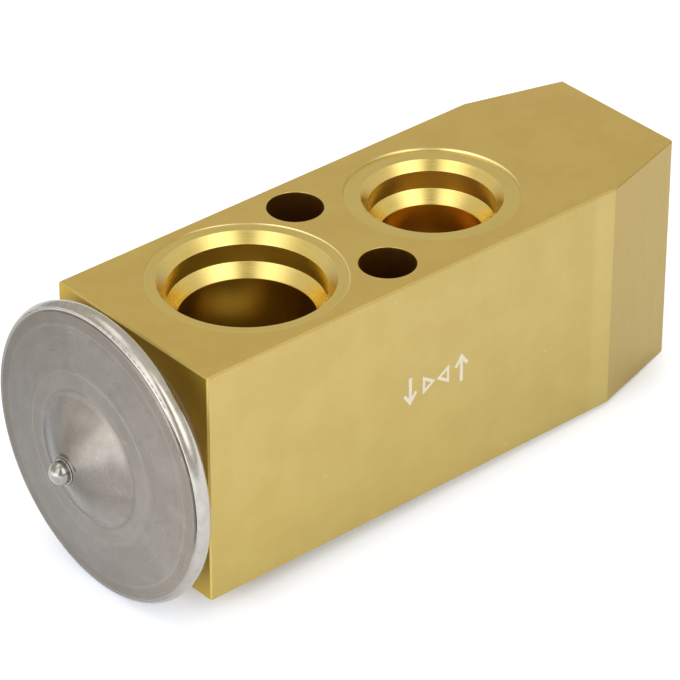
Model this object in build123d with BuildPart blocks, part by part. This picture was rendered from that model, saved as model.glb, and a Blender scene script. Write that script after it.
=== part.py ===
from build123d import *
import os
from math import cos, sin, radians, sqrt

# Block-type thermostatic expansion valve, in millimetres.
# Origin: centre of the bolt pattern, on the lower port face. +Z leaves the upper
# port face, +X runs along the valve axis towards the tapered tail, and the power
# element (head) is on the -X end.

# ---------------------------------------------------------------- dimensions
block_w = 27.5          # across, Y
block_h = 31.2          # between the two port faces, Z
block_l = 77.6          # along X
taper_l = 13.5          # length of the tapered tail
tail_w = 19.8           # width of the tail's end face
bolt_from_front = 31.9  # bolt pattern behind the front face
edge_break = 0.22       # broken outer edges

front_x = -bolt_from_front
tail_x = front_x + block_l
taper_x = tail_x - taper_l

bolt_pitch = 16.8       # hole to hole, Y
bolt_d = 7.0
bolt_edge = 0.05        # broken edge of the bolt holes

port_pitch = 14.6       # suction and liquid port each side of the bolts, X
suction_x = -port_pitch
liquid_x = port_pitch
inlet_x = 24.6          # liquid port of the lower face

# stepped ports: spot face, mouth, cone, pilot cylinder, cone, bore
spot_slope = 0.5        # a spot face's step leans in by this much of its depth
suction_spot_d, suction_spot_t = 24.4, 0.12
suction_mouth_d = 21.5
suction_pilot_d, suction_pilot_top, suction_pilot_end = 19.2, 1.39, 3.76
suction_bore_d, suction_bore_top = 16.7, 5.40

liquid_spot_d, liquid_spot_t = 21.8, 0.30
liquid_mouth_d = 17.4
liquid_pilot_d, liquid_pilot_top, liquid_pilot_end = 15.6, 1.48, 3.91
liquid_bore_d, liquid_bore_top = 13.0, 5.48
liquid_step_depth = 10.6   # below this the outlet drill is narrower
liquid_drill_d = 9.0
liquid_drill_depth = 19.2

inlet_spot_d, inlet_spot_t = 18.4, 0.20
inlet_mouth_d = 14.4
inlet_pilot_d, inlet_pilot_top, inlet_pilot_end = 12.8, 1.25, 3.50
inlet_bore_d, inlet_bore_top = 9.6, 5.00
inlet_depth = 11.6

# valve axis, parallel to X; d below is a distance behind the block's front face
axis_z = 16.1
valve_axis = Axis((0, 0, axis_z), (1, 0, 0))

stem_r = 10.0           # threaded stem of the head, M20 x 1
stem_l = 7.0
head_hole_l = 7.6
rod_hole_r = 4.0
rod_r = 2.8
rod_end_d = 24.2
seal_pocket_r, seal_pocket_end_d = 3.2, 30.9
pin_r = 1.4
pin_guide_r = 1.45
throat_r = 2.8
seat_d = 52.2           # narrow edge of the valve seat
chamber_r = 6.8
chamber_start_d = 52.6
chamber_end_d = 71.5
nut_hole_r = 7.5        # M15 x 1
ball_r = 3.5
seat_gap = 0.03
stroke = 0.8            # full lift of the valve ball

# head
rim_r = 18.92           # outside of the rim's bead
bead_r = 1.26
bead_d = -4.60
diaphragm_t = 0.20


def at(d, r):
    """Point of an axial section: d behind the front face, r from the valve axis."""
    return (front_x + d, axis_z + r)


ball_d = seat_d + sqrt(ball_r**2 - throat_r**2) + seat_gap

# ---------------------------------------------------------------- valve body
with BuildPart() as valve_body:
    with BuildSketch(Plane.XY):
        with BuildLine():
            Polyline(
                (front_x, -block_w / 2),
                (taper_x, -block_w / 2),
                (tail_x, -tail_w / 2),
                (tail_x, tail_w / 2),
                (taper_x, block_w / 2),
                (front_x, block_w / 2),
                close=True,
            )
        make_face()
    extrude(amount=block_h)
    # every outer edge is broken, but for the blunt ones where the taper starts
    taper_edges = valve_body.edges().filter_by(Axis.Z).filter_by_position(
        Axis.X, taper_x - 0.5, taper_x + 0.5
    )
    chamfer(
        [e for e in valve_body.edges() if e not in taper_edges], length=edge_break
    )

    # suction passage, straight through, with the same stepped port in both faces
    with BuildSketch(Plane.XZ):
        with BuildLine():
            Polyline(
                (suction_x, -1),
                (suction_x + suction_spot_d / 2 + spot_slope, -1),
                (suction_x + suction_spot_d / 2 - spot_slope * suction_spot_t, suction_spot_t),
                (suction_x + suction_mouth_d / 2, suction_spot_t),
                (suction_x + suction_pilot_d / 2, suction_pilot_top),
                (suction_x + suction_pilot_d / 2, suction_pilot_end),
                (suction_x + suction_bore_d / 2, suction_bore_top),
                (suction_x + suction_bore_d / 2, block_h - suction_bore_top),
                (suction_x + suction_pilot_d / 2, block_h - suction_pilot_end),
                (suction_x + suction_pilot_d / 2, block_h - suction_pilot_top),
                (suction_x + suction_mouth_d / 2, block_h - suction_spot_t),
                (suction_x + suction_spot_d / 2 - spot_slope * suction_spot_t, block_h - suction_spot_t),
                (suction_x + suction_spot_d / 2 + spot_slope, block_h + 1),
                (suction_x, block_h + 1),
                close=True,
            )
        make_face()
    revolve(axis=Axis((suction_x, 0, 0), (0, 0, 1)), mode=Mode.SUBTRACT)

    # liquid outlet in the upper face: stepped port, bore, narrower drill
    with BuildSketch(Plane.XZ):
        with BuildLine():
            Polyline(
                (liquid_x, block_h + 1),
                (liquid_x + liquid_spot_d / 2 + spot_slope, block_h + 1),
                (liquid_x + liquid_spot_d / 2 - spot_slope * liquid_spot_t, block_h - liquid_spot_t),
                (liquid_x + liquid_mouth_d / 2, block_h - liquid_spot_t),
                (liquid_x + liquid_pilot_d / 2, block_h - liquid_pilot_top),
                (liquid_x + liquid_pilot_d / 2, block_h - liquid_pilot_end),
                (liquid_x + liquid_bore_d / 2, block_h - liquid_bore_top),
                (liquid_x + liquid_bore_d / 2, block_h - liquid_step_depth),
                (liquid_x + liquid_drill_d / 2, block_h - liquid_step_depth - 1.1),
                (liquid_x + liquid_drill_d / 2, block_h - liquid_drill_depth + 1.5),
                (liquid_x, block_h - liquid_drill_depth),
                close=True,
            )
        make_face()
    revolve(axis=Axis((liquid_x, 0, 0), (0, 0, 1)), mode=Mode.SUBTRACT)

    # liquid inlet in the lower face, up into the valve chamber
    with BuildSketch(Plane.XZ):
        with BuildLine():
            Polyline(
                (inlet_x, -1),
                (inlet_x + inlet_spot_d / 2 + spot_slope, -1),
                (inlet_x + inlet_spot_d / 2 - spot_slope * inlet_spot_t, inlet_spot_t),
                (inlet_x + inlet_mouth_d / 2, inlet_spot_t),
                (inlet_x + inlet_pilot_d / 2, inlet_pilot_top),
                (inlet_x + inlet_pilot_d / 2, inlet_pilot_end),
                (inlet_x + inlet_bore_d / 2, inlet_bore_top),
                (inlet_x + inlet_bore_d / 2, inlet_depth),
                (inlet_x, inlet_depth),
                close=True,
            )
        make_face()
    revolve(axis=Axis((inlet_x, 0, 0), (0, 0, 1)), mode=Mode.SUBTRACT)

    # two through holes for the flange bolts
    with BuildSketch(Plane.XY):
        with Locations((0, -bolt_pitch / 2), (0, bolt_pitch / 2)):
            Circle(bolt_d / 2)
    extrude(amount=block_h, mode=Mode.SUBTRACT)
    chamfer(
        [
            e
            for e in valve_body.edges().filter_by(GeomType.CIRCLE)
            if abs(e.radius - bolt_d / 2) < 1e-4
        ],
        length=bolt_edge,
    )

    # head side of the valve axis: seal pocket, threaded hole, rod hole, seal
    # pocket in the web, pin guide
    with BuildSketch(Plane.XZ):
        with BuildLine():
            Polyline(
                at(-1, 0),
                at(-1, 11.9),
                at(1.75, 11.9),
                at(1.75, stem_r + 0.02),
                at(head_hole_l, stem_r + 0.02),
                at(head_hole_l, rod_hole_r),
                at(10.5, rod_hole_r),
                at(10.5, 0),
                close=True,
            )
        make_face()
    revolve(axis=valve_axis, mode=Mode.SUBTRACT)
    with BuildSketch(Plane.XZ):
        with BuildLine():
            Polyline(
                at(24.0, 0),
                at(24.0, seal_pocket_r),
                at(seal_pocket_end_d, seal_pocket_r),
                at(seal_pocket_end_d, pin_guide_r),
                at(45.0, pin_guide_r),
                at(45.0, 0),
                close=True,
            )
        make_face()
    revolve(axis=valve_axis, mode=Mode.SUBTRACT)

    # tail side: throat, seat, valve chamber, threaded hole of the adjusting nut
    with BuildSketch(Plane.XZ):
        with BuildLine():
            Polyline(
                at(47.0, 0),
                at(47.0, throat_r),
                at(seat_d, throat_r),
                at(chamber_start_d, throat_r + chamber_start_d - seat_d),
                at(chamber_start_d, chamber_r),
                at(chamber_end_d, chamber_r),
                at(chamber_end_d, nut_hole_r),
                at(block_l - 0.5, nut_hole_r),
                at(block_l, nut_hole_r + 0.5),
                at(block_l + 1, nut_hole_r + 0.5),
                at(block_l + 1, 0),
                close=True,
            )
        make_face()
    revolve(axis=valve_axis, mode=Mode.SUBTRACT)
valve_body.part.label = "valve_body"

# ---------------------------------------------------------------- power element
# Upper housing: pressed sheet with a flat rim, a shallow conical annulus and a
# central cone that ends in a small collar round the charge hole.
with BuildPart() as head_cap:
    with BuildSketch(Plane.XZ):
        with BuildLine():
            Polyline(at(-9.30, 1.31), at(-10.20, 1.31), at(-10.36, 1.50))
            ThreePointArc(at(-10.36, 1.50), at(-10.40, 1.68), at(-10.30, 1.92))
            Line(at(-10.30, 1.92), at(-10.08, 2.10))
            Spline(
                at(-10.08, 2.10),
                at(-8.72, 4.90),
                at(-7.148, 7.932),
                tangents=[(0.42, 1.0), (0.593, 1.0)],
            )
            ThreePointArc(at(-7.148, 7.932), at(-6.8375, 8.646), at(-6.716, 9.42))
            Line(at(-6.716, 9.42), at(-6.66, 10.75))
            Line(at(-6.66, 10.75), at(-6.58, 11.10))
            Line(at(-6.58, 11.10), at(-5.90, 16.40))
            Line(at(-5.90, 16.40), at(-5.80, 17.70))
            ThreePointArc(at(-5.80, 17.70), at(-5.68, 18.02), at(-5.36, 18.15))
            Polyline(
                at(-5.36, 18.15),
                at(-4.77, 18.15),
                at(-4.77, 16.70),
                at(-5.02, 16.20),
                at(-5.74, 10.95),
                at(-5.80, 8.90),
                at(-6.10, 8.10),
                at(-9.10, 2.30),
                at(-9.30, 1.31),
            )
        make_face()
    revolve(axis=valve_axis)
head_cap.part.label = "head_cap"

# Steel ball that closes the charge hole.
with BuildPart() as sealing_ball:
    with Locations((front_x - 10.85, 0, axis_z)):
        Sphere(1.45)
sealing_ball.part.label = "sealing_ball"

# Thin disc, flat where it is clamped and in the middle, with shallow waves between.
dia_front = -4.77
wave_r0, wave_count, wave_w, wave_h = 10.5, 8, 0.70, 0.16
wave_r1 = wave_r0 + wave_count * wave_w
with BuildPart() as diaphragm:
    with BuildSketch(Plane.XZ):
        with BuildLine():
            for face in (dia_front, dia_front + diaphragm_t):
                for i in range(wave_count):
                    a = wave_r0 + i * wave_w
                    h = wave_h if i % 2 else -wave_h
                    ThreePointArc(
                        at(face, a), at(face + h, a + wave_w / 2), at(face, a + wave_w)
                    )
            Line(at(dia_front, 0), at(dia_front, wave_r0))
            Line(at(dia_front, wave_r1), at(dia_front, 18.15))
            Line(at(dia_front, 18.15), at(dia_front + diaphragm_t, 18.15))
            Line(at(dia_front + diaphragm_t, 18.15), at(dia_front + diaphragm_t, wave_r1))
            Line(at(dia_front + diaphragm_t, wave_r0), at(dia_front + diaphragm_t, 0))
            Line(at(dia_front + diaphragm_t, 0), at(dia_front, 0))
        make_face()
    revolve(axis=valve_axis)
diaphragm.part.label = "diaphragm"

# Lower housing: rounded rim folded round the cap's edge, dished back, seat boss
# and threaded stem, bored through.
bead_front_r = rim_r - bead_r + sqrt(bead_r**2 - 0.90**2)
with BuildPart() as head_base:
    with BuildSketch(Plane.XZ):
        with BuildLine():
            Polyline(
                at(stem_l, 5.0),
                at(stem_l, stem_r - 0.6),
                at(stem_l - 0.6, stem_r),
                at(0, stem_r),
                at(0, 13.2),
                at(-1.2, 13.2),
                at(-3.10, 16.2),
                at(bead_d + bead_r, 17.0),
                at(bead_d + bead_r, rim_r - bead_r),
            )
            ThreePointArc(
                at(bead_d + bead_r, rim_r - bead_r),
                at(bead_d + bead_r * cos(radians(67.8)), rim_r - bead_r + bead_r * sin(radians(67.8))),
                at(bead_d - 0.90, bead_front_r),
            )
            ThreePointArc(
                at(bead_d - 0.90, bead_front_r),
                at(bead_d - 0.98, 18.36),
                at(bead_d - 0.80, 18.20),
            )
            Polyline(
                at(bead_d - 0.80, 18.20),
                at(-4.55, 18.20),
                at(-4.55, 16.4),
                at(-3.95, 15.7),
                at(-3.95, 14.5),
                at(-2.35, 10.6),
                at(-2.35, 5.0),
                at(stem_l, 5.0),
            )
        make_face()
    revolve(axis=valve_axis)
head_base.part.label = "head_base"

# O-ring between the head's seat and the block, in the mouth of the threaded hole.
with BuildPart() as head_seal:
    with BuildSketch(Plane.XZ):
        with Locations(at(0.88, 10.96)):
            Circle(0.84)
    revolve(axis=valve_axis)
head_seal.part.label = "head_seal"

# ---------------------------------------------------------------- moving train
# Disc under the diaphragm, with a hub that holds the sensing rod's end.
with BuildPart() as stopper_plate:
    with BuildSketch(Plane.XZ):
        with BuildLine():
            Polyline(
                at(-4.54, 0),
                at(-4.54, 9.2),
                at(-4.14, 9.6),
                at(-3.20, 9.6),
                at(-3.20, 4.8),
                at(-2.90, 4.5),
                at(1.00, 4.5),
                at(1.00, rod_r + 0.02),
                at(-2.22, rod_r + 0.02),
                at(-2.22, 0),
                close=True,
            )
        make_face()
    revolve(axis=valve_axis)
stopper_plate.part.label = "stopper_plate"

# Sensing rod across the suction passage, with a blind hole for the push pin.
with BuildPart() as sensing_rod:
    with BuildSketch(Plane.XZ):
        with BuildLine():
            Polyline(
                at(-2.20, 0),
                at(-2.20, rod_r - 0.25),
                at(-1.95, rod_r),
                at(rod_end_d - 0.4, rod_r),
                at(rod_end_d, rod_r - 0.4),
                at(rod_end_d, pin_r + 0.02),
                at(rod_end_d - 2.8, pin_r + 0.02),
                at(rod_end_d - 2.8, 0),
                close=True,
            )
        make_face()
    revolve(axis=valve_axis)
sensing_rod.part.label = "sensing_rod"

# Push pin through the web, from the rod to the ball.
pin_end_d = ball_d - ball_r - 0.02
with BuildPart() as push_pin:
    with BuildSketch(Plane.XZ):
        with BuildLine():
            Polyline(
                at(rod_end_d - 2.75, 0),
                at(rod_end_d - 2.75, pin_r - 0.2),
                at(rod_end_d - 2.55, pin_r),
                at(pin_end_d - 0.3, pin_r),
                at(pin_end_d, pin_r - 0.3),
                at(pin_end_d, 0),
                close=True,
            )
        make_face()
    revolve(axis=valve_axis)
push_pin.part.label = "push_pin"

# Closing ball.
with BuildPart() as valve_ball:
    with Locations((front_x + ball_d, 0, axis_z)):
        Sphere(ball_r)
valve_ball.part.label = "valve_ball"

# Holder with a spherical pocket for the ball, a groove for the damping ring, a
# collar for the spring and a spigot inside it.
pocket_r = ball_r + 0.02
pocket_d = ball_d + sqrt(pocket_r**2 - 3.2**2)
spring_start_d = 60.40
with BuildPart() as ball_holder:
    with BuildSketch(Plane.XZ):
        with BuildLine():
            ThreePointArc(
                at(ball_d + pocket_r, 0),
                at(ball_d + pocket_r * cos(radians(35)), pocket_r * sin(radians(35))),
                at(pocket_d, 3.2),
            )
            Polyline(
                at(pocket_d, 3.2),
                at(pocket_d, 4.9),
                at(57.2, 4.9),
                at(57.2, 4.2),
                at(59.4, 4.2),
                at(59.4, 5.3),
                at(spring_start_d, 5.3),
                at(spring_start_d, 3.1),
                at(62.5, 3.1),
                at(62.9, 2.7),
                at(62.9, 0),
                at(ball_d + pocket_r, 0),
            )
        make_face()
    revolve(axis=valve_axis)
ball_holder.part.label = "ball_holder"

# Damping ring: a band round the holder, with four leaves that bend out to the
# chamber's wall.
band_in, band_out = 4.23, 4.48
leaf_t = 0.25


def leaf_point(angle, side):
    """Point of a leaf's mid line, moved half its thickness inwards or outwards."""
    share = angle / 58.0
    r = band_out - 0.10 + (6.56 - band_out + 0.10) * share**1.4 + side * leaf_t / 2
    return (r * cos(radians(angle)), r * sin(radians(angle)))


leaf_angles = [0, 12, 24, 36, 47, 58]
with BuildSketch(Plane.YZ) as leaf:
    with BuildLine():
        Spline(*[leaf_point(a, -1) for a in leaf_angles])
        Line(leaf_point(58, -1), leaf_point(58, 1))
        Spline(*[leaf_point(a, 1) for a in reversed(leaf_angles)])
        Line(leaf_point(0, 1), leaf_point(0, -1))
    make_face()
with BuildPart() as damping_ring:
    with BuildSketch(Plane.YZ.offset(front_x + 57.35)):
        with Locations((0, axis_z)):
            Circle(band_out)
            Circle(band_in, mode=Mode.SUBTRACT)
    extrude(amount=1.9)
    with BuildSketch(Plane.YZ.offset(front_x + 57.55)):
        with Locations((0, axis_z)):
            with PolarLocations(0, 4):
                add(leaf.sketch_local)
    extrude(amount=1.5)
damping_ring.part.label = "damping_ring"

# ---------------------------------------------------------------- web seal
with BuildPart() as pin_o_ring:
    with BuildSketch(Plane.XZ):
        with Locations(at(30.0, 2.32)):
            Circle(0.85)
    revolve(axis=valve_axis)
pin_o_ring.part.label = "pin_o_ring"

with BuildPart() as pin_washer:
    with BuildSketch(Plane.YZ.offset(front_x + 28.55)):
        with Locations((0, axis_z)):
            Circle(3.15)
            Circle(1.60, mode=Mode.SUBTRACT)
    extrude(amount=0.5)
pin_washer.part.label = "pin_washer"

# Push-in ring with teeth round its outside.
with BuildPart() as pin_retainer:
    with BuildSketch(Plane.YZ.offset(front_x + 28.05)):
        with Locations((0, axis_z)):
            Circle(3.18)
            Circle(1.80, mode=Mode.SUBTRACT)
            with PolarLocations(3.10, 8):
                Rectangle(0.9, 0.6, mode=Mode.SUBTRACT)
    extrude(amount=0.4)
pin_retainer.part.label = "pin_retainer"

# ---------------------------------------------------------------- superheat spring
spring_wire = 1.2
spring_mean_r = 4.0
spring_end_d = 68.90
spring_a = front_x + spring_start_d + 0.03
spring_b = front_x + spring_end_d - 0.03
spring_pitch = 1.92
with BuildPart() as superheat_spring:
    with BuildLine() as coil:
        Helix(
            pitch=spring_pitch,
            height=spring_b - spring_a,
            radius=spring_mean_r,
            center=(spring_a, 0, axis_z),
            direction=(1, 0, 0),
        )
    with BuildSketch(Plane(coil.line @ 0, z_dir=coil.line % 0)):
        Circle(spring_wire / 2)
    sweep(path=coil.line, is_frenet=True)
    # both ends ground flat
    with BuildSketch(Plane.YZ.offset(spring_a)):
        with Locations((0, axis_z)):
            Circle(spring_mean_r + spring_wire)
    extrude(amount=spring_b - spring_a, mode=Mode.INTERSECT)
superheat_spring.part.label = "superheat_spring"

# ---------------------------------------------------------------- adjusting nut
nut_start_d = 67.4
nut_end_d = 76.9
nut_inward = 1.5        # travel towards the ball, with room for it behind the thread
nut_thread_start_d = chamber_end_d + nut_inward + 0.05
nut_seal_r = chamber_r - 0.08
nut_thread_r = nut_hole_r - 0.05
socket_af = 8.0
socket_depth = 4.7
with BuildPart() as adjusting_nut:
    with BuildSketch(Plane.XZ):
        with BuildLine():
            Polyline(
                at(nut_start_d + 1.5, 0),
                at(nut_start_d + 1.5, 4.75),
                at(nut_start_d, 4.75),
                at(nut_start_d, nut_seal_r - 0.4),
                at(nut_start_d + 0.4, nut_seal_r),
                at(69.35, nut_seal_r),
                at(69.35, 5.02),
                at(71.25, 5.02),
                at(71.25, nut_seal_r),
                at(nut_thread_start_d, nut_seal_r),
                at(nut_thread_start_d + 0.5, nut_thread_r),
                at(nut_end_d - 0.5, nut_thread_r),
                at(nut_end_d, nut_thread_r - 0.5),
                at(nut_end_d, 0),
                close=True,
            )
        make_face()
    revolve(axis=valve_axis)
    with BuildSketch(Plane.YZ.offset(front_x + nut_end_d - socket_depth)):
        with Locations((0, axis_z)):
            RegularPolygon(radius=socket_af / 2, side_count=6, major_radius=False)
    extrude(amount=socket_depth + 1, mode=Mode.SUBTRACT)
adjusting_nut.part.label = "adjusting_nut"

with BuildPart() as adjusting_o_ring:
    with BuildSketch(Plane.XZ):
        with Locations(at(70.3, 5.90)):
            Circle(0.85)
    revolve(axis=valve_axis)
adjusting_o_ring.part.label = "adjusting_o_ring"

# ---------------------------------------------------------------- export
os.makedirs("parts", exist_ok=True)
export_step(valve_body.part, "parts/valve_body.step")
export_step(head_cap.part, "parts/head_cap.step")
export_step(sealing_ball.part, "parts/sealing_ball.step")
export_step(diaphragm.part, "parts/diaphragm.step")
export_step(head_base.part, "parts/head_base.step")
export_step(head_seal.part, "parts/head_seal.step")
export_step(stopper_plate.part, "parts/stopper_plate.step")
export_step(sensing_rod.part, "parts/sensing_rod.step")
export_step(push_pin.part, "parts/push_pin.step")
export_step(valve_ball.part, "parts/valve_ball.step")
export_step(ball_holder.part, "parts/ball_holder.step")
export_step(damping_ring.part, "parts/damping_ring.step")
export_step(pin_o_ring.part, "parts/pin_o_ring.step")
export_step(pin_washer.part, "parts/pin_washer.step")
export_step(pin_retainer.part, "parts/pin_retainer.step")
export_step(superheat_spring.part, "parts/superheat_spring.step")
export_step(adjusting_nut.part, "parts/adjusting_nut.step")
export_step(adjusting_o_ring.part, "parts/adjusting_o_ring.step")
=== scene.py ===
import math

import bmesh
import bpy
from mathutils import Matrix, Vector


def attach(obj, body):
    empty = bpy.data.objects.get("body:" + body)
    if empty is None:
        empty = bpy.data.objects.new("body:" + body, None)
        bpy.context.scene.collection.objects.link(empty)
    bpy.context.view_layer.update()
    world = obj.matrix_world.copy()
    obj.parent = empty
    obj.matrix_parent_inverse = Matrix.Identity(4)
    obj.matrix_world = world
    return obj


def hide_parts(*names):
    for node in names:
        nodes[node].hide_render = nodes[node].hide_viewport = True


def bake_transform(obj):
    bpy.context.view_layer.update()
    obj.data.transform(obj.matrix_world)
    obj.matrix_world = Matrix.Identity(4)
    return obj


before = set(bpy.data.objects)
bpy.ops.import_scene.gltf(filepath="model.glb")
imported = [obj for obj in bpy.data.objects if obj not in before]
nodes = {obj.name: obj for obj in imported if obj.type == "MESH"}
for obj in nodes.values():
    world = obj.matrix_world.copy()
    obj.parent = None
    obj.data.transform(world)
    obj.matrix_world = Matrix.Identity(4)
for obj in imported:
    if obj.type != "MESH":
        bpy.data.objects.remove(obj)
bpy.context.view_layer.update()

# Lengths below are in millimetres unless they end in _m; MM turns them into metres.
MM = 0.001
AXIS_Z = 16.1            # valve axis above the lower port face
FRONT_X, TAIL_X, TAPER_X = -31.9, 45.7, 32.2
BLOCK_W, BLOCK_H = 27.5, 31.2
SUCTION_X, LIQUID_X, INLET_X = -14.6, 14.6, 24.6

scene = bpy.context.scene


# ------------------------------------------------------------------ camera
def make_camera():
    look = Vector((0.55064465, 0.63408508, -0.54288727)).normalized()
    up = Vector((0.35502627, 0.41071159, 0.83980494))
    right = look.cross(up).normalized()
    up = right.cross(look).normalized()
    data = bpy.data.cameras.new("camera")
    data.lens = 223.49
    data.sensor_width = 36.0
    data.clip_start = 0.01
    data.clip_end = 20.0
    cam = bpy.data.objects.new("camera", data)
    turn = Matrix((right, up, -look)).transposed().to_4x4()
    cam.matrix_world = Matrix.Translation((-0.28116, -0.32362, 0.29337)) @ turn
    scene.collection.objects.link(cam)
    scene.camera = cam


make_camera()
scene.view_settings.view_transform = "Standard"
scene.view_settings.look = "None"
scene.view_settings.exposure = 0.0
scene.view_settings.gamma = 1.0


# ------------------------------------------------------------------ node helpers
class Graph:
    """Small helper that adds nodes to a material and returns their outputs."""

    def __init__(self, name):
        self.mat = bpy.data.materials.new(name)
        self.mat.use_nodes = True
        self.tree = self.mat.node_tree
        self.tree.nodes.clear()
        self.out = self.tree.nodes.new("ShaderNodeOutputMaterial")
        self.bsdf = self.tree.nodes.new("ShaderNodeBsdfPrincipled")
        self.tree.links.new(self.bsdf.outputs["BSDF"], self.out.inputs["Surface"])
        coord = self.tree.nodes.new("ShaderNodeTexCoord")
        self.mm = self.vmath("SCALE", coord.outputs["Object"], scale=1000.0)
        sep = self.tree.nodes.new("ShaderNodeSeparateXYZ")
        self.link(self.mm, sep.inputs[0])
        self.x, self.y, self.z = sep.outputs

    def link(self, a, b):
        self.tree.links.new(a, b)

    def put(self, value, socket):
        if hasattr(value, "links") or isinstance(value, bpy.types.NodeSocket):
            self.link(value, socket)
        else:
            socket.default_value = value

    def math(self, op, a, b=None, c=None, clamp=False):
        n = self.tree.nodes.new("ShaderNodeMath")
        n.operation = op
        n.use_clamp = clamp
        for value, socket in zip((a, b, c), n.inputs):
            if value is not None:
                self.put(value, socket)
        return n.outputs[0]

    def vmath(self, op, a, b=None, scale=None):
        n = self.tree.nodes.new("ShaderNodeVectorMath")
        n.operation = op
        self.put(a, n.inputs[0])
        if b is not None:
            self.put(b, n.inputs[1])
        if scale is not None:
            self.put(scale, n.inputs["Scale"])
        return n.outputs["Value"] if op in ("LENGTH", "DISTANCE", "DOT_PRODUCT") else n.outputs["Vector"]

    def combine(self, x, y, z):
        n = self.tree.nodes.new("ShaderNodeCombineXYZ")
        for value, socket in zip((x, y, z), n.inputs):
            self.put(value, socket)
        return n.outputs[0]

    def noise(self, vector, scale, detail=2.0, rough=0.5, dims="3D", w=None, distortion=0.0):
        n = self.tree.nodes.new("ShaderNodeTexNoise")
        n.noise_dimensions = dims
        if vector is not None:
            self.link(vector, n.inputs["Vector"])
        if w is not None:
            self.put(w, n.inputs["W"])
        n.inputs["Scale"].default_value = scale
        n.inputs["Detail"].default_value = detail
        n.inputs["Roughness"].default_value = rough
        n.inputs["Distortion"].default_value = distortion
        return n.outputs["Fac"]

    def voronoi(self, vector, scale, feature="F1", randomness=1.0):
        n = self.tree.nodes.new("ShaderNodeTexVoronoi")
        n.feature = feature
        self.link(vector, n.inputs["Vector"])
        n.inputs["Scale"].default_value = scale
        n.inputs["Randomness"].default_value = randomness
        return n

    def smooth(self, value, low, high, to_low=0.0, to_high=1.0):
        n = self.tree.nodes.new("ShaderNodeMapRange")
        n.interpolation_type = "SMOOTHSTEP"
        self.put(value, n.inputs["Value"])
        n.inputs["From Min"].default_value = low
        n.inputs["From Max"].default_value = high
        n.inputs["To Min"].default_value = to_low
        n.inputs["To Max"].default_value = to_high
        return n.outputs["Result"]

    def linear(self, value, low, high, to_low=0.0, to_high=1.0):
        n = self.tree.nodes.new("ShaderNodeMapRange")
        self.put(value, n.inputs["Value"])
        n.inputs["From Min"].default_value = low
        n.inputs["From Max"].default_value = high
        n.inputs["To Min"].default_value = to_low
        n.inputs["To Max"].default_value = to_high
        return n.outputs["Result"]

    def band(self, value, middle, half, soft):
        """1 within half of middle, falling to 0 over soft."""
        away = self.math("ABSOLUTE", self.math("SUBTRACT", value, middle))
        return self.smooth(away, half, half + soft, 1.0, 0.0)

    def mix(self, fac, a, b):
        n = self.tree.nodes.new("ShaderNodeMix")
        n.data_type = "RGBA"
        self.put(fac, n.inputs[0])
        self.put(a if not isinstance(a, tuple) else (*a[:3], 1.0), n.inputs[6])
        self.put(b if not isinstance(b, tuple) else (*b[:3], 1.0), n.inputs[7])
        return n.outputs[2]

    def mixf(self, fac, a, b):
        n = self.tree.nodes.new("ShaderNodeMix")
        n.data_type = "FLOAT"
        self.put(fac, n.inputs[0])
        self.put(a, n.inputs[2])
        self.put(b, n.inputs[3])
        return n.outputs[0]

    def bump(self, height, distance_m, strength=1.0, normal=None):
        n = self.tree.nodes.new("ShaderNodeBump")
        self.link(height, n.inputs["Height"])
        n.inputs["Distance"].default_value = distance_m
        n.inputs["Strength"].default_value = strength
        if normal is not None:
            self.link(normal, n.inputs["Normal"])
        return n.outputs["Normal"]

    def polar(self, a, b):
        """radius, cosine and sine of a point (a, b) given by two sockets."""
        vec = self.combine(a, b, 0.0)
        r = self.vmath("LENGTH", vec)
        unit = self.vmath("NORMALIZE", vec)
        sep = self.tree.nodes.new("ShaderNodeSeparateXYZ")
        self.link(unit, sep.inputs[0])
        return r, sep.outputs[0], sep.outputs[1]

    def finish(self, color=None, rough=None, normal=None, metallic=1.0, **constants):
        if color is not None:
            self.link(color, self.bsdf.inputs["Base Color"])
        if rough is not None:
            self.link(rough, self.bsdf.inputs["Roughness"])
        if normal is not None:
            self.link(normal, self.bsdf.inputs["Normal"])
        self.bsdf.inputs["Metallic"].default_value = metallic
        for key, value in constants.items():
            self.bsdf.inputs[key.replace("_", " ")].default_value = value
        return self.mat


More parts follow.
